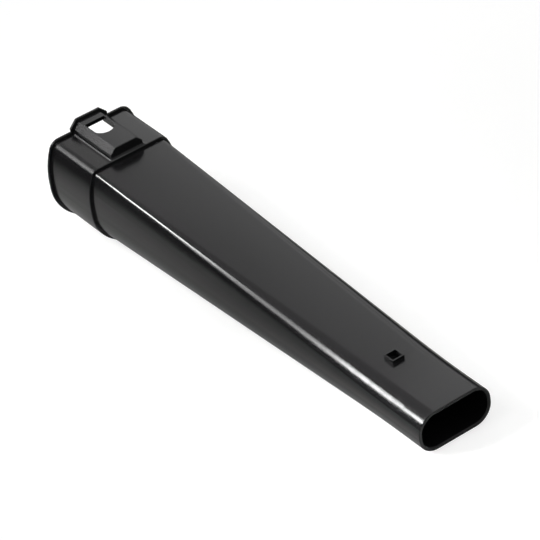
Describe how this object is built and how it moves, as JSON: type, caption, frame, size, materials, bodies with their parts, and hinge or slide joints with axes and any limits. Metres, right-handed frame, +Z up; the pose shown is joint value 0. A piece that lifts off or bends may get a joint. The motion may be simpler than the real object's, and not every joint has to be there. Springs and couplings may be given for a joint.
{
  "type": "leaf blower nozzle tube",
  "caption": "Black moulded blower tube: a D-shaped socket collar with a flange and a latch housing, tapering to a flattened outlet with a hollow square peg on top.",
  "frame": {"origin": "on the floor, under the middle of the part's bounding box as it lies at rest", "axes": "+X from the socket's rim to the outlet, +Y to the left seen from the socket, +Z up; the tube's axis dips 3.75 degrees towards +X because the part rests on its collar and its outlet"},
  "size_m": [0.4228, 0.0816, 0.0847],
  "materials": {
    "black_plastic": "moulded, fine satin grain"
  },
  "bodies": {
    "root": {"nozzle_tube": "black_plastic"}
  },
  "joints": []
}
